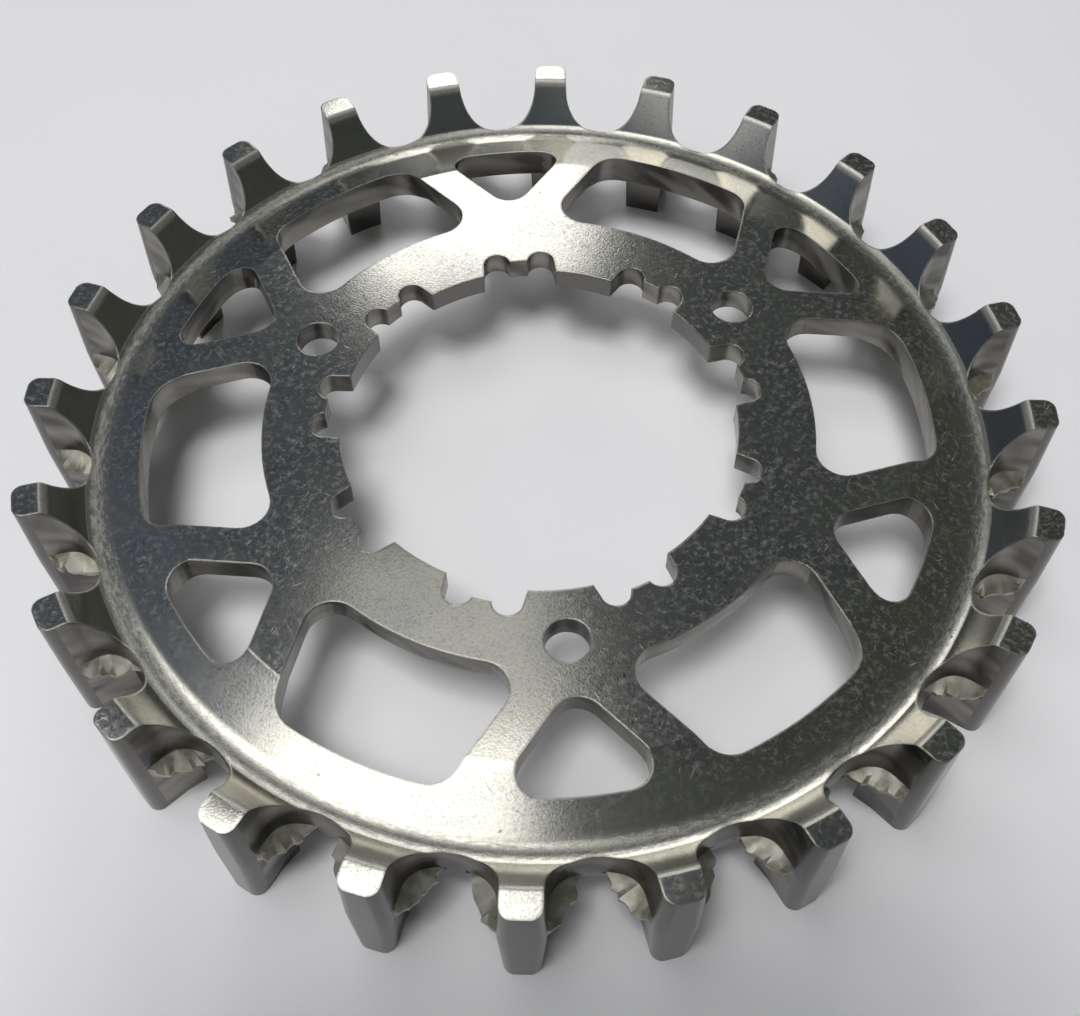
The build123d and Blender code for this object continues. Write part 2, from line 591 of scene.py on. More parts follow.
@dataclass
class ToothGaps:
    """The gaps between the teeth, with the torn ledge that broken flash left on both flanks. Millimetres."""

    count: int = 24
    tip_r: float = 41.217
    root_r: float = 36.287
    top: float = 13.0
    parting: float = 6.8
    draft: float = 2.6
    half_width: float = 1.74
    tip_corner_r: float = 0.9
    floor_r: float = 4.6
    corner_r: float = 2.4
    leg_r: float = 36.717
    leg_toe: float = 1.6
    leg_flare: float = 0.25
    flash_end: float = 1.1
    flash_floor: float = 0.8
    flash_dip: float = 0.1
    chin: Plan = (0.05, 0.42)
    nose: Plan = (1.2, 37.45)
    mouth: Plan = (2.63, 39.65)
    levels: tuple[FlashLevel, ...] = (
        FlashLevel(7.4, 7.1, 7.12, rise=0.4, out=0.0),
        FlashLevel(7.4, 7.0, 7.03, rise=0.22, out=0.5),
        FlashLevel(7.4, 6.9, 6.95, rough=0.08),
        FlashLevel(6.2, 6.6, 6.5, rough=0.1, shift=(0.03, -0.01)),
        FlashLevel(6.2, 6.4, 6.35, rise=-0.25, out=0.0),
    )
    tear: float = 0.18
    tear_share: Plan = (0.1, 1.5)
    seed: int = 11
    over: float = 0.35
    clear: float = 0.06
    floor_steps: int = 3
    corner_steps: int = 9
    bend_steps: int = 4
    flank_steps: int = 3
    tip_steps: int = 9
    tip_turn: float = 9.0
    flash_first: int = 2
    rise_steps: int = 6

    @property
    def flash_last(self) -> int:
        """The flash's last station, at the end of the flank."""
        return self.floor_steps + self.corner_steps + self.flank_steps

    def flank(self, along: float, half_width: float) -> Vector:
        """Find a point beside the right-hand tooth.

        Args:
            along: its place along the tooth, from the axis.
            half_width: how far it lies off the tooth's middle.

        Returns:
            The point in plan.
        """
        c = math.cos(math.pi / self.count)
        s = math.sin(math.pi / self.count)
        return Vector((along * s - half_width * c, along * c + half_width * s))

    def lean(self, z: float) -> float:
        """How far a drafted wall has moved into the steel at a height."""
        return abs(z - self.parting) * math.tan(math.radians(self.draft))

    def upper_wall(self, z: float) -> list[Vector]:
        """Right half of the gap's outline in its upper part: floor, corner, flank, tip corner and beyond.

        Args:
            z: the height.

        Returns:
            The stations in order, from the middle of the floor outwards.
        """
        shift = self.lean(z)
        floor_centre = Vector((0, self.root_r + self.floor_r))
        off = self.half_width + self.corner_r
        base = self.flank(0, off) - floor_centre
        run = self.flank(1, off) - self.flank(0, off)
        b = base.dot(run)
        along = -b - math.sqrt(b * b - base.dot(base) + (self.floor_r - self.corner_r) ** 2)
        centre = tuple(self.flank(along, off))
        meet = bearing(centre, tuple(floor_centre))
        floor = arc(tuple(floor_centre), self.floor_r + shift, -90, meet, self.floor_steps)
        corner = arc(centre, self.corner_r + shift, meet, -180 / self.count, self.corner_steps)
        wall = [Vector(p) for p in floor + corner[1:]]
        return wall + self.flank_and_tip(along, self.half_width - shift)

    def flank_and_tip(self, along: float, half_width: float) -> list[Vector]:
        """Stations on the flank beyond the corner, round the tip and out of the part.

        Args:
            along: where the flank starts, along the tooth.
            half_width: half the tooth's width at this height.

        Returns:
            The stations in order.
        """
        tip_start = self.tip_r - self.tip_corner_r
        run = self.tip_r - self.flash_end - along
        steps = range(1, self.flank_steps + 1)
        flank = [self.flank(along + run * k / self.flank_steps, half_width) for k in steps]
        tip = []
        for k in range(self.tip_steps):
            turn = math.radians(self.tip_turn * k)
            in_by = self.tip_corner_r * (1 - math.cos(turn))
            tip.append(self.flank(tip_start + self.tip_corner_r * math.sin(turn), half_width - in_by))
        # runs on straight from the last step, so that it meets the round face at a clear angle
        reach = self.tip_r + self.clear - tip_start - self.tip_corner_r * math.sin(turn)
        out = tip[-1] + self.flank(math.cos(turn), -math.sin(turn)) * (reach / math.cos(turn))
        return flank + tip + [out, out + Vector((0, self.over))]

    def lower_wall(self, z: float) -> list[Vector]:
        """Right half of the outline in the lower part, where the gap opens towards the axis.

        Args:
            z: the height.

        Returns:
            Stations that match those of the upper part.
        """
        shift = self.lean(z)
        upper = self.upper_wall(self.parting)
        half = self.half_width - shift
        root = self.root_r - shift
        along = upper[self.floor_steps + self.corner_steps].dot(self.flank(1, 0))
        toe = self.flank(self.leg_r - self.over, half + self.leg_flare)
        heel = self.flank(self.leg_r + self.leg_toe, half)
        last = self.flank(along, half)
        floor = [Vector((p.x, root)) for p in upper[:self.floor_steps + 1]]
        start = floor[-1].x
        steps = range(1, self.bend_steps + 1)
        corner = [Vector((start + (toe.x - start) * k / self.bend_steps, root)) for k in steps]
        side = [toe, toe.lerp(heel, 0.5), heel, heel.lerp(last, 0.5), last]
        return floor + corner + side + self.flank_and_tip(along, half)

    def torn_edge(self, rng: random.Random) -> list[Vector]:
        """The torn inner edge of the flash, from the floor outwards to the flank.

        Args:
            rng: source of the tear's small steps.

        Returns:
            One place for each of the flash's stations.
        """
        path = [
            Vector((self.flash_floor, self.root_r - self.flash_dip)),
            Vector((self.nose[0] - self.chin[0], self.root_r + self.chin[1])),
            Vector(self.nose),
            Vector(self.mouth),
            self.flank(self.tip_r - self.flash_end, self.half_width),
        ]
        count = self.flash_last - self.flash_first + 1
        places = []
        for k, spot in enumerate(spaced(path, count)):
            ends = k in (0, count - 1)
            reach = 0.0 if ends else self.tear * rng.uniform(*self.tear_share)
            places.append(spot + Vector((rng.uniform(-1, 1), rng.uniform(-1, 1))) * reach)
        return places

    def rings(self, rng: random.Random) -> list[list[Vector]]:
        """The right half of every ring of a gap's cutter, from the top down.

        Args:
            rng: source of the tear's small steps.

        Returns:
            Rings of matching stations.
        """
        high = self.top + self.over
        edge = self.torn_edge(rng)
        rings = [[Vector((*p, high)) for p in self.upper_wall(high)]]
        for level in self.levels:
            draw = self.upper_wall if level.wall_z > self.parting else self.lower_wall
            ring = []
            for k, place in enumerate(draw(level.wall_z)):
                z = level.height
                if self.flash_first <= k <= self.flash_last:
                    step = k - self.flash_first
                    z = level.flash_height + level.rise * min(step / self.rise_steps, 1)
                    if level.rough:
                        z += rng.uniform(-level.rough, level.rough)
                    place = place.lerp(edge[step], level.out) + Vector(level.shift)
                ring.append(Vector((*place, z)))
            rings.append(ring)
        rings.append([Vector((*p, -self.over)) for p in self.lower_wall(-self.over)])
        return rings

    def gap(self, index: int, steels: Steels) -> bpy.types.Object:
        """Make the cutter of one gap at its place.

        Args:
            index: the gap's number.
            steels: materials in the order of the finishes.

        Returns:
            The closed cutter.
        """
        rights = self.rings(random.Random(self.seed + 2 * index))
        lefts = self.rings(random.Random(self.seed + 2 * index + 1))
        angle = math.radians(FRONT - 90 + 360 * index / self.count)
        turn = Matrix.Rotation(angle, 3, "Z")
        rings = []
        for right, left in zip(rights, lefts):
            other = [Vector((-p.x, p.y, p.z)) for p in reversed(left[1:])]
            rings.append([turn @ p for p in other + right])
        piece = ring_object("gap_cut", rings[0])
        bpy.ops.mesh.edge_face_add()
        for ring in rings[1:]:
            bpy.ops.mesh.select_mode(type="VERT")
            bpy.ops.mesh.extrude_edges_move()
            place_selected(piece, ring)
        bpy.ops.mesh.edge_face_add()
        bpy.ops.object.mode_set(mode="OBJECT")
        dress(piece, steels, Finish.WALL)
        self.mark_faces(piece, len(rights[0]))
        bpy.ops.object.mode_set(mode="EDIT")
        bpy.ops.mesh.select_all(action="SELECT")
        bpy.ops.mesh.quads_convert_to_tris()
        tidy_normals()
        bpy.ops.object.mode_set(mode="OBJECT")
        return piece

    def mark_faces(self, piece: bpy.types.Object, stations: int) -> None:
        """Give the flash on a gap's cutter its torn finish, and the round tip corners that of the tips.

        Args:
            piece: the cutter in object mode, with its rings in order.
            stations: number of stations in half a ring.
        """
        size = 2 * stations - 1
        for face in piece.data.polygons:
            rows = [v // size for v in face.vertices]
            steps = [abs(v % size - (stations - 1)) for v in face.vertices]
            at_parting = min(rows) >= 1 and max(rows) <= len(self.levels)
            if at_parting and min(steps) >= self.flash_first and max(steps) <= self.flash_last:
                face.material_index = Finish.TORN.value
            elif min(steps) >= self.flash_last:
                face.material_index = Finish.TURNED.value


def add_node(tree: Tree, kind: Kind, settings: dict[str | int, object] | None = None,
             links: dict[str | int, Source] | None = None) -> bpy.types.Node:
    """Add a shader node, set it up and link its inputs.

    Args:
        tree: the node tree.
        kind: kind of the node.
        settings: attributes by name, and input values by name or number.
        links: what feeds the inputs: a socket, or a node for the first output that it uses.

    Returns:
        The node.
    """
    node = tree.nodes.new(kind.value)
    for key, value in (settings or {}).items():
        if isinstance(key, str) and hasattr(node, key):
            setattr(node, key, value)
        else:
            node.inputs[key].default_value = value
    for key, source in (links or {}).items():
        if isinstance(source, bpy.types.Node):
            source = next(socket for socket in source.outputs if socket.enabled)
        tree.links.new(source, node.inputs[key])
    return node


def blank_material(name: str) -> tuple[bpy.types.Material, Tree]:
    """Start a material with an empty node tree.

    Args:
        name: name of the material.

    Returns:
        The material and its tree.
    """
    material = bpy.data.materials.new(name)
    material.use_nodes = True
    material.node_tree.nodes.clear()
    return material, material.node_tree


@dataclass(frozen=True)
class WornEdges:
    """Edges that tumbling rounded and rubbed dull. Millimetres."""

    # to the eye: every edge catches the light as a thin pale line
    radius: float = 0.22
    samples: int = 3
    wear: float = 0.3
    turn: Span = Span(0.99, 0.86)

    def make(self, tree: Tree) -> tuple[bpy.types.Node, bpy.types.Node]:
        """Add the nodes to a material.

        Args:
            tree: the node tree.

        Returns:
            The rounded normal and a mask that is 1 at an edge.
        """
        rounded = add_node(tree, Kind.BEVEL, {"samples": self.samples, "Radius": self.radius * MM})
        plain = add_node(tree, Kind.GEOMETRY)
        match = add_node(tree, Kind.VECTOR, {"operation": "DOT_PRODUCT"},
                         {0: rounded, 1: plain.outputs["Normal"]})
        mask = add_node(tree, Kind.RANGE, self.turn.limits(), {"Value": match})
        return rounded, mask


@dataclass(frozen=True)
class SteelPlace:
    """What the turned steel's patterns read at a point: its place, how its face lies and its mottling."""

    spot: Source
    flat: Source
    radius: Source
    upright: Source
    level: Source
    cloud: Source
    density: Source
    grain: Source


@dataclass(frozen=True)
class SteelWear:
    """Masks of the turned steel's wear: struck marks, hazy valley, rubbed brow of the teeth, worn edges."""

    marks: Source
    haze: Source
    brow: Source
    edge: Source


@dataclass(frozen=True)
class TumbledStainless:
    """Stainless steel, turned and then tumbled. Millimetres."""

    # to the eye: a warm grey satin mirror with pale flecks and short scratches, dull in the valley
    colour: str = "#d0cdc1"
    stain: str = "#9ba1a9"
    pit: str = "#aaa79e"
    scale: str = "#aeaba1"
    rust: str = "#6b4a2c"
    # painted shade: plumb faces such as the tips, the bore lands and the legs' inner faces are darkened for
    # the shade on them and the shaded table they mirror
    wall: str = "#6d6b68"
    # roughness of the flat faces, the dish, the struck marks, the worn places and the steep faces
    satin: float = 0.12
    dish_satin: float = 0.185
    dull: float = 0.2
    hazy: float = 0.38
    steep: float = 0.22
    # sizes of the patterns; the scratches are drawn wider than the real hairlines, so that they show
    fleck: float = 0.45
    grain: float = 0.18
    cloud: float = 5.0
    speck: float = 0.5
    scratch_length: float = 1.3
    scratch_width: float = 0.11
    scratch_turns: tuple[float, ...] = (18, 47, 62, 118, 152)
    line_length: float = 0.8
    line_width: float = 0.22
    # how strongly each pattern shows for its noise
    fleck_span: Span = Span(0.5, 0.74, most=0.8)
    density_span: Span = Span(0.38, 0.62, least=0.4)
    stain_span: Span = Span(0.4, 0.7, most=0.3)
    pit_span: Span = Span(0.5, 0.68)
    speck_span: Span = Span(0.76, 0.82, most=0.7)
    scratch_span: Span = Span(0.77, 0.88)
    line_span: Span = Span(0.32, 0.7, least=0.35)
    # share of bare metal that the wear takes away
    mark_loss: float = 0.27
    haze_loss: float = 0.05
    brow_loss: float = 0.14
    # how level and how plumb a face is for the height of its normal; plumb faces get painted shade
    level_span: Span = Span(0.82, 0.92)
    plumb_shade_span: Span = Span(0.15, 0.4, 1.0, 0.0)
    # radii over which a ring round the axis starts, and over which it ends
    pad_start: Span = Span(39.0, 39.4)
    dish_ring: tuple[Span, Span] = (Span(29.4, 30.6), Span(37.5, 38.6, 1.0, 0.0))
    haze_ring: tuple[Span, Span] = (Span(33.4, 35.3), Span(36.1, 36.6, 1.0, 0.0))
    brow_ring: tuple[Span, Span] = (Span(38.55, 38.75), Span(39.15, 39.35, 1.0, 0.0))
    relief: float = 0.2
    relief_height: float = 0.015
    scratch_depth: float = 0.5
    edges: WornEdges = WornEdges()

    def find_place(self, tree: Tree) -> SteelPlace:
        """Add the nodes that the patterns share.

        Args:
            tree: the node tree.

        Returns:
            What the patterns read.
        """
        coord = add_node(tree, Kind.COORDINATE)
        spot = coord.outputs["Object"]
        facing = add_node(tree, Kind.SPLIT, links={"Vector": coord.outputs["Normal"]})
        upright = add_node(tree, Kind.MATH, {"operation": "ABSOLUTE"}, {0: facing.outputs["Z"]})
        # level faces took the dings, steep ones stayed smooth
        level = add_node(tree, Kind.RANGE, self.level_span.limits(), {"Value": upright})
        flat = add_node(tree, Kind.VECTOR, {**TIMES, 1: (1, 1, 0)}, {0: spot})
        radius = add_node(tree, Kind.VECTOR, {"operation": "LENGTH"}, {0: flat})
        cloud = add_node(tree, Kind.NOISE, {"Scale": 1 / (self.cloud * MM), "Detail": 3.0},
                         {"Vector": spot})
        density = add_node(tree, Kind.RANGE, self.density_span.limits(), {"Value": cloud})
        grain = add_node(tree, Kind.NOISE, {"Scale": 1 / (self.grain * MM), "Detail": 2.0},
                         {"Vector": spot})
        return SteelPlace(spot, flat, radius, upright, level, cloud, density, grain)

    def ring(self, tree: Tree, radius: Source, sides: tuple[Span, Span]) -> Source:
        """Mask a ring round the axis with soft edges.

        Args:
            tree: the node tree.
            radius: distance from the axis, in metres.
            sides: radii over which the mask rises and over which it falls, in millimetres.

        Returns:
            The mask, from 0 to 1.
        """
        rise, fall = (add_node(tree, Kind.RANGE, side.limits(MM), {"Value": radius}) for side in sides)
        return add_node(tree, Kind.MATH, TIMES, {0: rise, 1: fall})

    def scratches(self, tree: Tree, spot: Source) -> Source:
        """Draw short straight scratches in a few directions.

        Args:
            tree: the node tree.
            spot: object coordinates.

        Returns:
            The mask, 1 in a scratch.
        """
        strokes = None
        for turn in self.scratch_turns:
            along = add_node(tree, Kind.MAPPING, {
                "vector_type": "TEXTURE",
                "Rotation": (0, 0, math.radians(turn)),
                "Scale": (self.scratch_length * MM, self.scratch_width * MM, MM),
            }, {"Vector": spot})
            noise = add_node(tree, Kind.NOISE, {"Scale": 1.0, "Detail": 0.0}, {"Vector": along})
            stroke = add_node(tree, Kind.RANGE, self.scratch_span.limits(), {"Value": noise})
            strokes = add_node(tree, Kind.MATH, LARGER, {0: strokes, 1: stroke}) if strokes else stroke
        return strokes

    def struck_marks(self, tree: Tree, place: SteelPlace, strokes: Source) -> Source:
        """Draw what struck the level faces: flecks and scratches, thicker in some places.

        Args:
            tree: the node tree.
            place: what the patterns read.
            strokes: the scratches.

        Returns:
            The mask, from 0 to 1.
        """
        fleck = add_node(tree, Kind.NOISE, {
            "Scale": 1 / (self.fleck * MM), "Detail": 4.0, "Roughness": 0.7}, {"Vector": place.spot})
        dings = add_node(tree, Kind.RANGE, self.fleck_span.limits(), {"Value": fleck})
        struck = add_node(tree, Kind.MATH, LARGER, {0: dings, 1: strokes})
        # the pads stand highest and were struck all over
        pad = add_node(tree, Kind.RANGE, self.pad_start.limits(MM), {"Value": place.radius})
        thick = add_node(tree, Kind.MATH, LARGER, {0: place.density, 1: pad})
        share = add_node(tree, Kind.MATH, TIMES, {0: thick, 1: place.level})
        return add_node(tree, Kind.MATH, TIMES, {0: struck, 1: share})

    def valley_haze(self, tree: Tree, place: SteelPlace) -> Source:
        """Draw the dull scale of the valley, broken up by the turning tool's lines round the axis.

        Args:
            tree: the node tree.
            place: what the patterns read.

        Returns:
            The mask, from 0 to 1.
        """
        around = add_node(tree, Kind.VECTOR, {"operation": "NORMALIZE"}, {0: place.flat})
        drawn = add_node(tree, Kind.VECTOR, {
            "operation": "SCALE", "Scale": self.haze_ring[0].end / self.line_length}, {0: around})
        across = add_node(tree, Kind.MATH, {**TIMES, 1: 1 / (self.line_width * MM)},
                          {0: place.radius})
        lift = add_node(tree, Kind.GATHER, links={"Z": across})
        wound = add_node(tree, Kind.VECTOR, {"operation": "ADD"}, {0: drawn, 1: lift})
        noise = add_node(tree, Kind.NOISE, {"Scale": 1.0, "Detail": 4.0, "Roughness": 0.65},
                         {"Vector": wound})
        lines = add_node(tree, Kind.RANGE, self.line_span.limits(), {"Value": noise})
        valley = self.ring(tree, place.radius, self.haze_ring)
        return add_node(tree, Kind.MATH, TIMES, {0: valley, 1: lines})

    def bare_metal(self, tree: Tree, wear: SteelWear) -> Source:
        """Work out how much of the surface is bare metal.

        Args:
            tree: the node tree.
            wear: masks of the wear.

        Returns:
            The share, a little under 1 where the surface is worn.
        """
        # where the skin is broken it scatters light as a dull solid does, and shows pale against the mirror
        losses = [
            add_node(tree, Kind.MATH, {**TIMES, 1: loss}, {0: mask})
            for mask, loss in (
                (wear.marks, self.mark_loss), (wear.haze, self.haze_loss),
                (wear.edge, self.edges.wear), (wear.brow, self.brow_loss))
        ]
        broken = add_node(tree, Kind.MATH, LARGER, {0: losses[0], 1: losses[1]})
        rubbed = add_node(tree, Kind.MATH, LARGER, {0: losses[2], 1: losses[3]})
        lost = add_node(tree, Kind.MATH, LARGER, {0: broken, 1: rubbed})
        return add_node(tree, Kind.MATH, {"operation": "SUBTRACT", 0: 1.0}, {1: lost})

    def gloss(self, tree: Tree, place: SteelPlace, wear: SteelWear) -> Source:
        """Work out the roughness: satin faces and dish, dull marks, blunt edges, brow and valley.

        Args:
            tree: the node tree.
            place: what the patterns read.
            wear: masks of the wear.

        Returns:
            The roughness.
        """
        dish = self.ring(tree, place.radius, self.dish_ring)
        sheen = add_node(tree, Kind.RANGE, {"To Min": self.satin, "To Max": self.dish_satin},
                         {"Value": dish})
        dulled = add_node(tree, Kind.RANGE, {"To Max": self.dull}, {"Value": wear.marks, "To Min": sheen})
        steep = add_node(tree, Kind.RANGE, {"To Min": self.steep, "To Max": 0.0}, {"Value": place.level})
        smooth = add_node(tree, Kind.MATH, LARGER, {0: dulled, 1: steep})
        rubbed = add_node(tree, Kind.MATH, LARGER, {0: wear.edge, 1: wear.brow})
        blunt = add_node(tree, Kind.MATH, LARGER, {0: rubbed, 1: wear.haze})
        hazy = add_node(tree, Kind.MATH, {**TIMES, 1: self.hazy}, {0: blunt})
        return add_node(tree, Kind.MATH, LARGER, {0: smooth, 1: hazy})

    def tone(self, tree: Tree, place: SteelPlace, haze: Source) -> Source:
        """Mix the colour: stains, fine pits, scale in the valley, specks of rust and painted shade on plumb
        faces.

        Args:
            tree: the node tree.
            place: what the patterns read.
            haze: mask of the valley.

        Returns:
            The colour.
        """
        tint = add_node(tree, Kind.RANGE, self.stain_span.limits(), {"Value": place.cloud})
        dark = add_node(tree, Kind.RANGE, self.pit_span.limits(), {"Value": place.grain})
        pits = add_node(tree, Kind.MATH, TIMES, {0: dark, 1: place.density})
        specks = add_node(tree, Kind.NOISE, {"Scale": 1 / (self.speck * MM), "Detail": 1.0},
                          {"Vector": place.spot})
        speck = add_node(tree, Kind.RANGE, self.speck_span.limits(), {"Value": specks})
        rusted = add_node(tree, Kind.MATH, TIMES, {0: speck, 1: place.level})
        # painted shade: steep faces take the dark wall colour
        plumb_shade = add_node(tree, Kind.RANGE, self.plumb_shade_span.limits(), {"Value": place.upright})
        tone = add_node(tree, Kind.MIX, {**COLOURS, "A": linear(self.colour), "B": linear(self.stain)},
                        {"Factor": tint})
        for mask, colour in ((pits, self.pit), (haze, self.scale), (rusted, self.rust), (plumb_shade, self.wall)):
            tone = add_node(tree, Kind.MIX, {**COLOURS, "B": linear(colour)}, {"Factor": mask, "A": tone})
        return tone

    def make(self) -> bpy.types.Material:
        """Make the material.

        Returns:
            The finished material.
        """
        material, tree = blank_material("tumbled_stainless_steel")
        place = self.find_place(tree)
        strokes = self.scratches(tree, place.spot)
        marks = self.struck_marks(tree, place, strokes)
        haze = self.valley_haze(tree, place)
        normal, worn = self.edges.make(tree)
        wear = SteelWear(marks, haze, self.ring(tree, place.radius, self.brow_ring), worn)
        dug = add_node(tree, Kind.MATH, {**TIMES, 1: self.scratch_depth}, {0: strokes})
        rough = add_node(tree, Kind.MATH, {"operation": "SUBTRACT"}, {0: place.grain, 1: dug})
        height = add_node(tree, Kind.MATH, TIMES, {0: rough, 1: place.level})
        bump = add_node(tree, Kind.BUMP, {"Strength": self.relief, "Distance": self.relief_height * MM},
                        {"Height": height, "Normal": normal})
        shader = add_node(tree, Kind.SURFACE, links={
            "Base Color": self.tone(tree, place, haze),
            "Metallic": self.bare_metal(tree, wear),
            "Roughness": self.gloss(tree, place, wear),
            "Normal": bump,
        })
        add_node(tree, Kind.MATERIAL, links={"Surface": shader})
        return material


@dataclass(frozen=True)
class CoinedWall:
    """Stainless steel of the punched windows and the coined flanks. Millimetres."""

    # to the eye: smooth and darker than the faces, with soft pale streaks that slant across the wall; the
    # darkness is painted shade
    # painted shade: this dark colour stands for the shaded table between the teeth that the walls mirror
    colour: str = "#565452"
    streak_colour: str = "#908d86"
    satin: Plan = (0.24, 0.34)
    streak_width: float = 1.7
    streak_length: float = 6.0
    streak_tilt: Plan = (24.0, 18.0)
    streak_span: Span = Span(0.36, 0.64)
    relief: float = 0.15
    relief_height: float = 0.05
    edges: WornEdges = WornEdges()

    def make(self) -> bpy.types.Material:
        """Make the material.

        Returns:
            The finished material.
        """
        material, tree = blank_material("coined_stainless_steel")
        coord = add_node(tree, Kind.COORDINATE)
        drawn = add_node(tree, Kind.MAPPING, {
            "vector_type": "TEXTURE",
            "Rotation": (math.radians(self.streak_tilt[0]), math.radians(self.streak_tilt[1]), 0),
            "Scale": (self.streak_length * MM, self.streak_length * MM, self.streak_width * MM),
        }, {"Vector": coord.outputs["Object"]})
        streaks = add_node(tree, Kind.NOISE, {"Scale": 1.0, "Detail": 1.0}, {"Vector": drawn})
        share = add_node(tree, Kind.RANGE, self.streak_span.limits(), {"Value": streaks})
        tone = add_node(tree, Kind.MIX, {
            **COLOURS, "A": linear(self.colour), "B": linear(self.streak_colour)}, {"Factor": share})
        normal, worn = self.edges.make(tree)
        roughness = add_node(tree, Kind.RANGE, {"To Min": self.satin[0], "To Max": self.satin[1]},
                             {"Value": share})
        metallic = add_node(tree, Kind.RANGE, {"To Min": 1.0, "To Max": 1.0 - self.edges.wear},
                            {"Value": worn})
        bump = add_node(tree, Kind.BUMP, {"Strength": self.relief, "Distance": self.relief_height * MM},
                        {"Height": streaks, "Normal": normal})
        shader = add_node(tree, Kind.SURFACE, links={
            "Base Color": tone, "Metallic": metallic, "Roughness": roughness, "Normal": bump})
        add_node(tree, Kind.MATERIAL, links={"Surface": shader})
        return material


@dataclass(frozen=True)
class TornSteel:
    """Stainless steel where the flash broke off. Millimetres."""

    # to the eye: pale, dull and finely grained, without the gloss of the faces round it
    colour: str = "#b0ada1"
    shade: str = "#85826f"
    metallic: float = 0.74
    roughness: float = 0.4
    grain: float = 0.2
    cloud: float = 1.2
    shade_span: Span = Span(0.38, 0.66)
    relief: float = 0.4
    relief_height: float = 0.03

    def make(self) -> bpy.types.Material:
        """Make the material.

        Returns:
            The finished material.
        """
        material, tree = blank_material("torn_stainless_steel")
        spot = add_node(tree, Kind.COORDINATE).outputs["Object"]
        crumbs = add_node(tree, Kind.NOISE, {"Scale": 1 / (self.grain * MM), "Detail": 3.0},
                          {"Vector": spot})
        cloud = add_node(tree, Kind.NOISE, {"Scale": 1 / (self.cloud * MM), "Detail": 3.0},
                         {"Vector": spot})
        share = add_node(tree, Kind.RANGE, self.shade_span.limits(), {"Value": cloud})
        tone = add_node(tree, Kind.MIX, {**COLOURS, "A": linear(self.colour), "B": linear(self.shade)},
                        {"Factor": share})
        bump = add_node(tree, Kind.BUMP, {"Strength": self.relief, "Distance": self.relief_height * MM},
                        {"Height": crumbs})
        shader = add_node(tree, Kind.SURFACE, {"Metallic": self.metallic, "Roughness": self.roughness},
                          {"Base Color": tone, "Normal": bump})
        add_node(tree, Kind.MATERIAL, links={"Surface": shader})
        return material


@dataclass(frozen=True)
class PaleTable:
    """A painted table top. Millimetres."""

    # to the eye: matt and almost white, with hardly any clouding
    colour: str = "#dfdedf"
    shade: str = "#d9d8da"
    cloud: float = 35.0
    roughness: float = 0.6

    def make(self) -> bpy.types.Material:
        """Make the material.

        Returns:
            The finished material.
        """
        material, tree = blank_material("pale_matt_table")
        coord = add_node(tree, Kind.COORDINATE)
        cloud = add_node(tree, Kind.NOISE, {"Scale": 1 / (self.cloud * MM), "Detail": 2.0},
                         {"Vector": coord.outputs["Object"]})
        tone = add_node(tree, Kind.MIX, {**COLOURS, "A": linear(self.colour), "B": linear(self.shade)},
                        {"Factor": cloud})
        shader = add_node(tree, Kind.SURFACE, {"Roughness": self.roughness}, {"Base Color": tone})
        add_node(tree, Kind.MATERIAL, links={"Surface": shader})
        return material


@dataclass
class Sprocket:
    """The whole part, cut from its turned blank."""

    blank: TurnedBlank = field(default_factory=TurnedBlank)
    web: WebCuts = field(default_factory=WebCuts)
    gaps: ToothGaps = field(default_factory=ToothGaps)
    turned_finish: TumbledStainless = field(default_factory=TumbledStainless)
    wall_finish: CoinedWall = field(default_factory=CoinedWall)
    torn_finish: TornSteel = field(default_factory=TornSteel)
    smooth_angle: float = 14.0

    def build(self) -> bpy.types.Object:
        """Cut and dress the piece.

        Returns:
            The sprocket's object.
        """
        steels = [f.make() for f in (self.turned_finish, self.wall_finish, self.torn_finish)]
        piece = self.blank.build(steels)
        cut(piece, self.web.build(steels))
        # one gap at a time: cut together, a gap can fail on the nearly flat facets of the rim
        for index in range(self.gaps.count):
            cut(piece, self.gaps.gap(index, steels))
        alone(piece)
        bpy.ops.object.mode_set(mode="EDIT")
        tidy_normals()
        bpy.ops.object.mode_set(mode="OBJECT")
        bpy.ops.object.shade_smooth_by_angle(angle=math.radians(self.smooth_angle))
        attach(piece, "root")
        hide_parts("sprocket")
        return piece


@dataclass(frozen=True)
class SoftPanel:
    """A flat soft lamp. Metres and watts."""

    name: str
    place: Place
    size: Plan
    power: float
    facing: Facing
    in_steel: bool = True
    colour: str = "#ffffff"

    def hang(self) -> None:
        """Add the lamp to the scene."""
        bpy.ops.object.light_add(type="AREA", location=self.place)
        lamp = bpy.context.active_object
        lamp.name = self.name
        lamp.data.shape = "RECTANGLE"
        lamp.data.size, lamp.data.size_y = self.size
        lamp.data.energy = self.power
        lamp.data.color = linear(self.colour)[:3]
        lamp.visible_glossy = self.in_steel
        aim = -Vector(self.place) if self.facing is Facing.MIDDLE else Vector(self.facing.value)
        lamp.rotation_euler = aim.to_track_quat("-Z", "Y").to_euler()


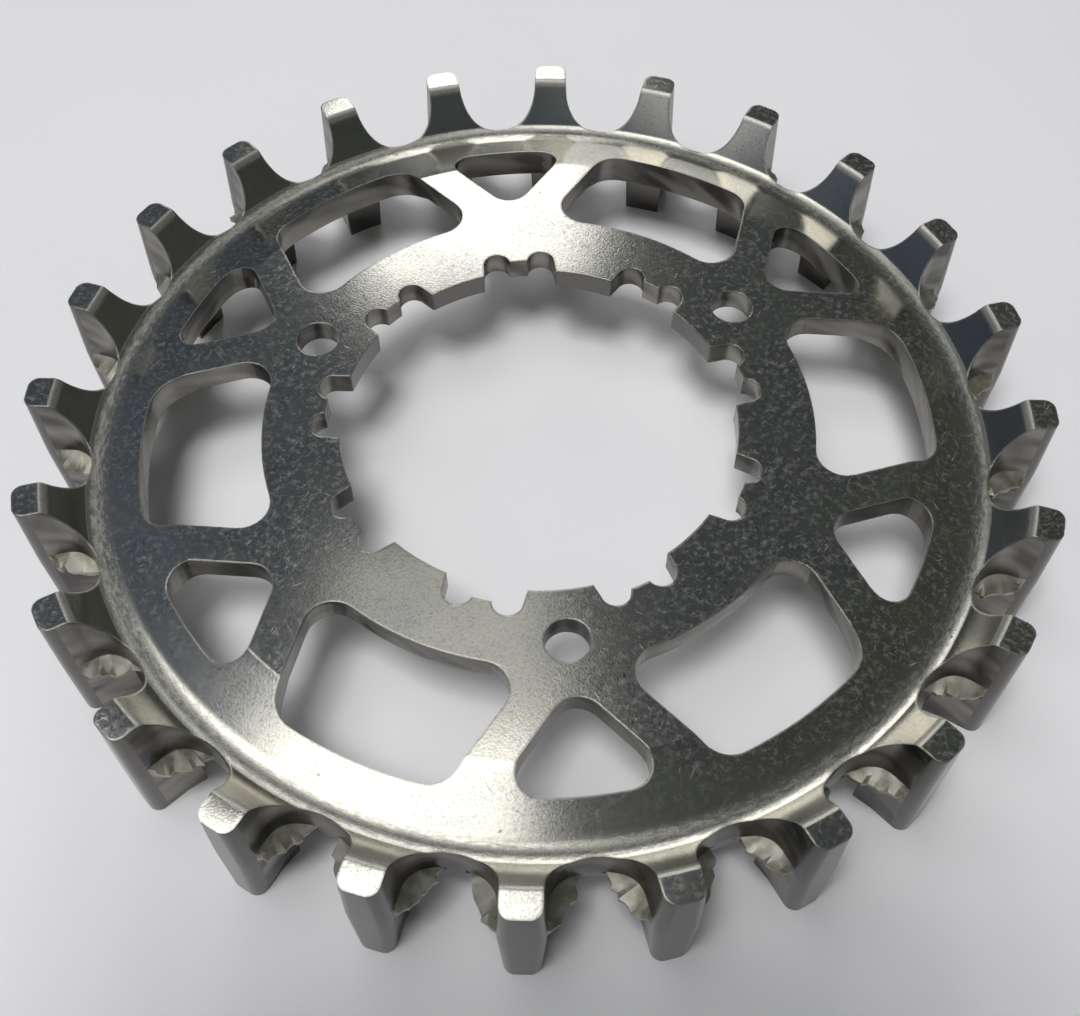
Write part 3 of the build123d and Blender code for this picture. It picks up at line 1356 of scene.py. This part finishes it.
@dataclass
class Studio:
    """Pale table, soft lamps and a dim room. Metres."""

    table_size: float = 2.0
    flag_place: Place = (-0.019, -0.075, 0.1)
    flag_size: Plan = (0.062, 0.026)
    room_left: str = "#4e5663"
    room_low: str = "#363d47"
    room_right: str = "#434643"
    room_across: Span = Span(-0.5, 0.5)
    room_lift: Span = Span(0.2, 0.55)
    panels: tuple[SoftPanel, ...] = (
        SoftPanel("ceiling_panel", (-0.465, 0.11, 1.5), (0.81, 1.0), 6.4, Facing.DOWN),
        SoftPanel("ceiling_panel_side", (0.008, 0.4, 1.5), (0.135, 0.45), 0.42, Facing.DOWN),
        SoftPanel("ceiling_panel_end", (-0.037, 0.78, 1.5), (0.3, 0.3), 0.16, Facing.DOWN),
        SoftPanel("ceiling_far", (-1.1, -1.0, 1.5), (1.4, 1.2), 3.2, Facing.DOWN),
        SoftPanel("key", (-0.24, -0.38, 1.4), (0.45, 0.45), 14.3, Facing.MIDDLE, in_steel=False),
        SoftPanel("window", (0.05, 1.5, 1.0), (0.375, 1.2), 3.6, Facing.FORWARD),
        SoftPanel("window_sill", (0.42, 1.5, 0.25), (0.57, 0.14), 0.33, Facing.FORWARD),
    )

    def lay_table(self) -> None:
        """Add the table."""
        bpy.ops.object.select_all(action="DESELECT")
        bpy.ops.mesh.primitive_plane_add(size=self.table_size)
        table = bpy.context.active_object
        table.name = "table"
        table.data.materials.append(PaleTable().make())

    def hang_flag(self) -> None:
        """Add a small flag that shades the table in front of the part, seen by neither camera nor steel."""
        bpy.ops.object.select_all(action="DESELECT")
        bpy.ops.mesh.primitive_plane_add(size=1, location=self.flag_place)
        flag = bpy.context.active_object
        flag.name = "lamp_flag"
        flag.scale = (*self.flag_size, 1)
        bpy.ops.object.transform_apply(location=True, rotation=False, scale=True)
        flag.visible_camera = False
        flag.visible_glossy = False

    def paint_room(self) -> None:
        """Give the world the dim colours of a room: bluish left, darker low down, greenish right."""
        world = bpy.data.worlds.new("dim_room")
        world.use_nodes = True
        tree = world.node_tree
        tree.nodes.clear()
        coord = add_node(tree, Kind.COORDINATE)
        along = add_node(tree, Kind.SPLIT, links={"Vector": coord.outputs["Generated"]})
        across = add_node(tree, Kind.RANGE, self.room_across.limits(), {"Value": along.outputs["X"]})
        lift = add_node(tree, Kind.RANGE, self.room_lift.limits(), {"Value": along.outputs["Z"]})
        left = add_node(tree, Kind.MIX, {
            **COLOURS, "A": linear(self.room_low), "B": linear(self.room_left)}, {"Factor": lift})
        tone = add_node(tree, Kind.MIX, {**COLOURS, "B": linear(self.room_right)},
                        {"Factor": across, "A": left})
        glow = add_node(tree, Kind.GLOW, links={"Color": tone})
        add_node(tree, Kind.WORLD, links={"Surface": glow})
        bpy.context.scene.world = world

    def build(self) -> None:
        """Add the table, the flag, the lamps and the room."""
        self.lay_table()
        self.hang_flag()
        for panel in self.panels:
            panel.hang()
        self.paint_room()


@dataclass
class PhotoCamera:
    """The camera as it stood for the photograph. Millimetres and degrees."""

    place: Place = (-6.712, -65.899, 98.21)
    turn: Place = (33.412, 0.0, -5.902)
    lens: float = 44.918
    sensor: float = 36.0
    near: float = 5.0

    def build(self) -> None:
        """Add the camera and make it the scene's own."""
        bpy.ops.object.camera_add(
            location=[c * MM for c in self.place], rotation=[math.radians(a) for a in self.turn])
        camera = bpy.context.active_object
        camera.name = "photo_camera"
        camera.data.lens = self.lens
        camera.data.sensor_width = self.sensor
        camera.data.sensor_fit = "HORIZONTAL"
        camera.data.clip_start = self.near * MM
        bpy.context.scene.camera = camera


def main() -> None:
    """Build the sprocket, its table, the light and the camera."""
    logging.basicConfig(level=logging.INFO, format="%(name)s: %(message)s")
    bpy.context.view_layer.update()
    piece = Sprocket().build()
    LOG.info("%s: %d faces", piece.name, len(piece.data.polygons))
    Studio().build()
    PhotoCamera().build()
    bpy.context.scene.view_settings.view_transform = "Standard"


if __name__ == "__main__":
    main()
